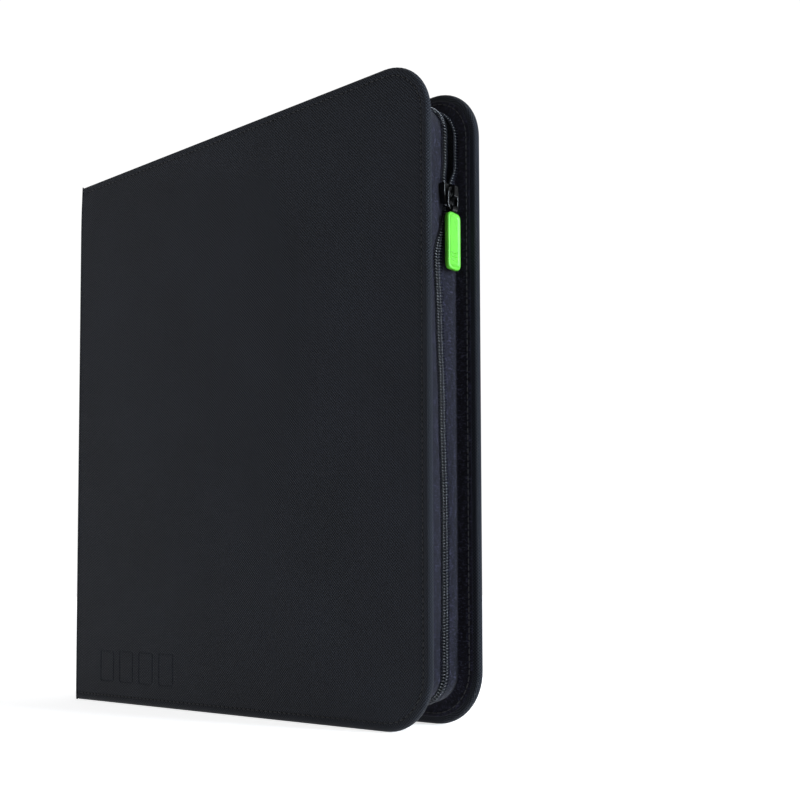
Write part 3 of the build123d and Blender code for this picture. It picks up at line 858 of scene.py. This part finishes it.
def make_coil(side):
    """One coil row: a single nylon wire wound in turns along the tape's edge."""
    word = WORDS[side]
    path = EdgePath(INSET)
    turns = int((path.length - 2 * (COIL_X0 - COVER_X0)) / COIL_PITCH)
    start = COIL_X0 - COVER_X0 + (COIL_PITCH / 2 if side == BACK else 0.0)
    points, radii = [], []
    for k in range(turns - 1):
        for a, h, t, r in COIL_TURN:
            x, z, nx, nz = path.at(start + k * COIL_PITCH + t)
            y = chain_y(z) + side * (half_gap(z) + a)
            points.append((x + nx * h, y, z + nz * h))
            radii.append(r)
    shape = Builder()
    shape.tube(points, radii, sides=6)
    coil = shape.object(f"{word}_coil_turns", COIL_NYLON)
    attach(coil, f"{word}_cover")
    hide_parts(f"{word}_coil")


# ================= pull tab =================
def rounded_rectangle(width, height, radius, steps=6):
    """Corner-rounded outline points (a, b) round the middle, the same number for every size."""
    points = []
    for k, (sa, sb) in enumerate(((1, 1), (-1, 1), (-1, -1), (1, -1))):
        ca, cb = sa * (width / 2 - radius), sb * (height / 2 - radius)
        for i in range(steps + 1):
            a = math.pi / 2 * (k + i / steps)
            points.append((ca + radius * math.cos(a), cb + radius * math.sin(a)))
    return points


def make_tab():
    """The green tab: a soft slab with a raised rim round a sunk panel, and grip bars at its foot."""
    low, high = TAB_LOW, TAB_HIGH
    centre = (low + high) / 2
    width, height, thick = high.y - low.y, high.z - low.z, high.x - low.x
    half = thick / 2
    levels = [(-half, 3.4), (-half, 1.0), (-half + 0.12, 0.35), (-half + 0.6, 0.0), (half - 0.6, 0.0)]
    levels += [(half - 0.12, 0.35), (half, 0.8), (half, 1.35), (half - 0.14, 1.6), (half - 0.34, 1.85)]
    levels += [(half - 0.36, 2.6), (half - 0.34, 3.9)]
    rings, uv_rings = [], []
    for x, inset in levels:
        ring = rounded_rectangle(width - 2 * inset, height - 2 * inset, max(0.4, 3.2 - inset * 0.75))
        rings.append([(centre.x + x, centre.y + a, centre.z + b) for a, b in ring])
        uv_rings.append([(a, b) for a, b in ring])
    shape = Builder()
    shape.grid(rings, uv_rings, close_columns=True)
    shape.cap(rings[0], uv_rings[0], flip=True)
    shape.cap(rings[-1], uv_rings[-1])
    for k in range(3):
        z = low.z + 5.2 + 2.0 * k
        bar = [(centre.x + half - 0.3, centre.y + y, z) for y in (-2.6, -2.2, 0.0, 2.2, 2.6)]
        shape.tube(bar, [0.15, 0.42, 0.45, 0.42, 0.15], sides=8)
    tab = shape.object("green_pull_tab", LIME)
    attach(tab, "tab")
    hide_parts("pull_tab")


# ================= pages =================
POCKET_COLUMNS, POCKET_ROWS, POCKET_W = 4, 3, 66.4
POCKET_LIFTS = (0.0, 0.03, 0.12, 0.15, 0.12, 0.03, 0.0)  # of the film, at each of pocket_steps
CORE_HALF = 0.15
CREASE_HALF = 0.11
CREASE_STEPS = (-1.2, -0.6, -0.2, 0.2, 0.6, 1.4)
WELD, WELD_LIFT = 1.6, 0.09  # half a weld line's width, and its height over the core
FILM_EDGE = 1.2


def sheet_grid(shape, xs, zs, y_at):
    """An upright sheet over a grid of places, with its height y_at(x, z) in Y."""
    rows = [[(x, y_at(x, z), z) for z in zs] for x in xs]
    shape.grid(rows, [[(p[0], p[2]) for p in row] for row in rows])


class Page:
    """One page's box and body, and how far its sheet lies from its middle plane."""

    def __init__(self, index, node):
        self.low, self.high = box_mm(node)
        self.y = (self.low.y + self.high.y) / 2
        self.number = f"{index + 1:02d}"
        self.body = f"page_leaf_{self.number}"
        self.seed = 1.7 * index
        self.x0, self.x1 = self.high.x - FILM_EDGE - POCKET_COLUMNS * POCKET_W, self.high.x - FILM_EDGE
        self.z0, self.z1 = self.low.z + FILM_EDGE, self.high.z - FILM_EDGE

    def drape(self, x, z):
        """The free sheet's slight waviness, in Y."""
        free = smoothstep((x - self.low.x) / 60.0)
        return free * 0.10 * noise.noise(Vector((x / 90.0, z / 80.0, self.seed)))


def make_page_core(page, node):
    """The core sheet: two faces and the rim between them."""
    low, high, y = page.low, page.high, page.y
    core = Builder()
    xs, zs = spaced_evenly(low.x, high.x, 16), spaced_evenly(low.z, high.z, 14)
    sheet_grid(core, xs, zs, lambda x, z: y - CORE_HALF + page.drape(x, z))
    sheet_grid(core, xs[::-1], zs, lambda x, z: y + CORE_HALF + page.drape(x, z))
    rim = [(x, zs[0]) for x in xs] + [(xs[-1], z) for z in zs[1:]] + [(x, zs[-1]) for x in xs[-2::-1]]
    rim += [(xs[0], z) for z in zs[-2:0:-1]]
    rows = [[(x, y + s * CORE_HALF + page.drape(x, z), z) for x, z in rim] for s in (-1, 1)]
    core.grid(rows, [[(p[0], p[2]) for p in row] for row in rows], close_columns=True)
    piece = core.object(f"page_core_{page.number}", CORE)
    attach(piece, page.body)
    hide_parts(node)


def pocket_steps(low, high):
    """Places across one pocket, close together at its welds."""
    return [low, low + WELD, low + 3 * WELD, (low + high) / 2, high - 3 * WELD, high - WELD, high]


def make_page_pockets(page):
    """The film on both faces, lifted a little off the core inside each pocket."""
    columns = spaced_evenly(page.x0, page.x1, POCKET_COLUMNS)
    floors = spaced_evenly(page.z0, page.z1, POCKET_ROWS)
    film = Builder()
    for face in (-1, 1):
        for left, right in zip(columns, columns[1:]):
            for bottom, top in zip(floors, floors[1:]):
                us, vs = pocket_steps(left, right), pocket_steps(bottom, top)
                rows = []
                for u, lift_u in zip(us, POCKET_LIFTS):
                    row = []
                    for v, lift_v in zip(vs, POCKET_LIFTS):
                        lift = 0.04 + 0.15 * (lift_u / 0.15) * (lift_v / 0.15)
                        row.append((u, page.y + page.drape(u, v) + face * (CORE_HALF + lift), v))
                    rows.append(row)
                film.grid(rows, [[(p[0], p[2]) for p in row] for row in rows])
    pockets = film.object(f"page_pockets_{page.number}", FILM)
    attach(pockets, page.body)


def make_page_welds(page):
    """The weld lines round the pockets, on both faces."""
    lines = Builder()
    for face in (-1, 1):
        def on_film(x, z, face=face):
            return page.y + page.drape(x, z) + face * (CORE_HALF + WELD_LIFT)

        for x in spaced_evenly(page.x0, page.x1, POCKET_COLUMNS):
            across = (x - WELD * face, x + WELD * face)
            sheet_grid(lines, across, spaced_evenly(page.z0, page.z1, 14), on_film)
        for z in spaced_evenly(page.z0, page.z1, POCKET_ROWS)[:-1]:
            across = (z - WELD * face, z + WELD * face)
            sheet_grid(lines, spaced_evenly(page.x0, page.x1, 16), across, on_film)
    welds = lines.object(f"page_welds_{page.number}", WELDED)
    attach(welds, page.body)


def make_page_crease(page):
    """The strip that bends between the binding and the page."""
    strip = Builder()
    y = page.y
    crease = page.low.x - 0.6
    xs = [crease + step for step in CREASE_STEPS]
    rows, uv_rows = [], []
    for z in spaced_evenly(page.low.z, page.high.z, 30):
        row = [(x, y - CREASE_HALF, z) for x in xs] + [(x, y + CREASE_HALF, z) for x in xs[::-1]]
        rows.append(row)
        uv_rows.append([(p[0], p[2]) for p in row])
    strip.grid(rows, uv_rows, close_columns=True)
    strip.cap(rows[0], uv_rows[0])
    strip.cap(rows[-1], uv_rows[-1], flip=True)
    hinge = strip.object(f"page_crease_{page.number}", CORE)
    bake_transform(hinge)


def make_page(index, node):
    page = Page(index, node)
    make_page_core(page, node)
    make_page_pockets(page)
    make_page_welds(page)
    make_page_crease(page)


# ================= CAD nodes that stay =================
def dress_cad_nodes():
    """Gives each CAD node that shows its procedural material."""
    finishes = {
        "lining": LINING, "foam_pad": FOAM, "cover_board": BOARD, "spine_board": BOARD, "top_stop": METAL,
        "bottom_stop": METAL, "end_tabs": GUSSET, "slider": METAL, "pull_ring": METAL,
        "pull_eyelet": METAL, "page_margins": CORE, "binding_spacers": MOULDED,
        "binding_channel": MOULDED, "binding_rivets": STEEL,
    }
    for name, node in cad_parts.items():
        for key, material in finishes.items():
            if key in name:
                node.data.materials.clear()
                node.data.materials.append(material)
                if material is GUSSET:
                    planar_cloth_layer(node.data)


def planar_cloth_layer(mesh):
    """A cloth layer for a flat CAD piece, laid out in its own X and Y."""
    layer = mesh.uv_layers.get("cloth") or mesh.uv_layers.new(name="cloth")
    for loop in mesh.loops:
        co = mesh.vertices[loop.vertex_index].co
        layer.data[loop.index].uv = (co.x, co.y + co.z)


# ================= studio =================
FLOOR_HALF, FLOOR_Z = 6000.0, -0.1


def make_floor():
    ring = [(sx * FLOOR_HALF, sy * FLOOR_HALF, FLOOR_Z) for sx, sy in ((-1, -1), (1, -1), (1, 1), (-1, 1))]
    floor = make_mesh("studio_floor", ring, [(0, 1, 2, 3)], None, studio_floor(), smooth=False)


def area_light(name, place, aim, size, power, colour=(1.0, 1.0, 1.0)):
    data = bpy.data.lights.new(name, "AREA")
    data.shape = "RECTANGLE"
    data.size, data.size_y = size
    data.energy = power
    data.color = colour
    light = bpy.data.objects.new(name, data)
    light.location = place
    light.rotation_euler = (Vector(aim) - Vector(place)).to_track_quat("-Z", "Y").to_euler()
    bpy.context.scene.collection.objects.link(light)


def make_world():
    """A white backdrop that lights the object less than it shows."""
    world = bpy.data.worlds.new("studio")
    world.use_nodes = True
    nodes, links = world.node_tree.nodes, world.node_tree.links
    background = nodes["Background"]
    background.inputs[0].default_value = (1.0, 1.0, 1.0, 1.0)
    path = nodes.new("ShaderNodeLightPath")
    strength = nodes.new("ShaderNodeMapRange")
    strength.inputs[3].default_value = WORLD_LIGHT
    strength.inputs[4].default_value = WORLD_SEEN
    links.new(path.outputs["Is Camera Ray"], strength.inputs[0])
    links.new(strength.outputs[0], background.inputs[1])
    bpy.context.scene.world = world


def make_lights():
    middle = (0.0, 0.0, 0.17)
    area_light("key", (-1.6, -1.2, 1.2), middle, (1.0, 1.0), 8.0, (0.93, 0.96, 1.0))
    area_light("right_strip", (1.5, 0.35, 0.35), (0.1, 0.0, 0.17), (0.35, 1.0), 48.0, (0.78, 0.89, 1.0))
    area_light("top", (0.3, 0.4, 1.8), middle, (1.2, 1.2), 7.0, (0.93, 0.96, 1.0))


CAMERA_PLACE = (0.4912, -0.4579, 0.0759)
CAMERA_YAW, CAMERA_PITCH, CAMERA_ROLL = 39.45, 2.87, -0.19
CAMERA_LENS = 49.3
CAMERA_SHIFT_Y = 0.1625


def make_camera():
    data = bpy.data.cameras.new("camera")
    data.lens, data.sensor_width = CAMERA_LENS, 36.0
    data.shift_y = CAMERA_SHIFT_Y
    data.clip_start, data.clip_end = 0.01, 50.0
    camera = bpy.data.objects.new("camera", data)
    yaw = Matrix.Rotation(math.radians(CAMERA_YAW), 4, "Z")
    pitch = Matrix.Rotation(math.radians(90 + CAMERA_PITCH), 4, "X")
    roll = Matrix.Rotation(math.radians(CAMERA_ROLL), 4, "Z")
    camera.matrix_world = Matrix.Translation(CAMERA_PLACE) @ yaw @ pitch @ roll
    bpy.context.scene.collection.objects.link(camera)
    bpy.context.scene.camera = camera


def main():
    make_camera()
    for side in (FRONT, BACK):
        make_cover_skin(side)
        make_cover_stitches(side)
        make_fold(side)
        make_inner_fold(side)
        make_tape(side)
        make_coil(side)
    make_spine()
    make_tab()
    for index, node in enumerate(PAGE_NODES):
        make_page(index, node)
    dress_cad_nodes()
    make_floor()
    make_world()
    make_lights()
    bpy.context.scene.view_settings.view_transform = "Standard"


main()
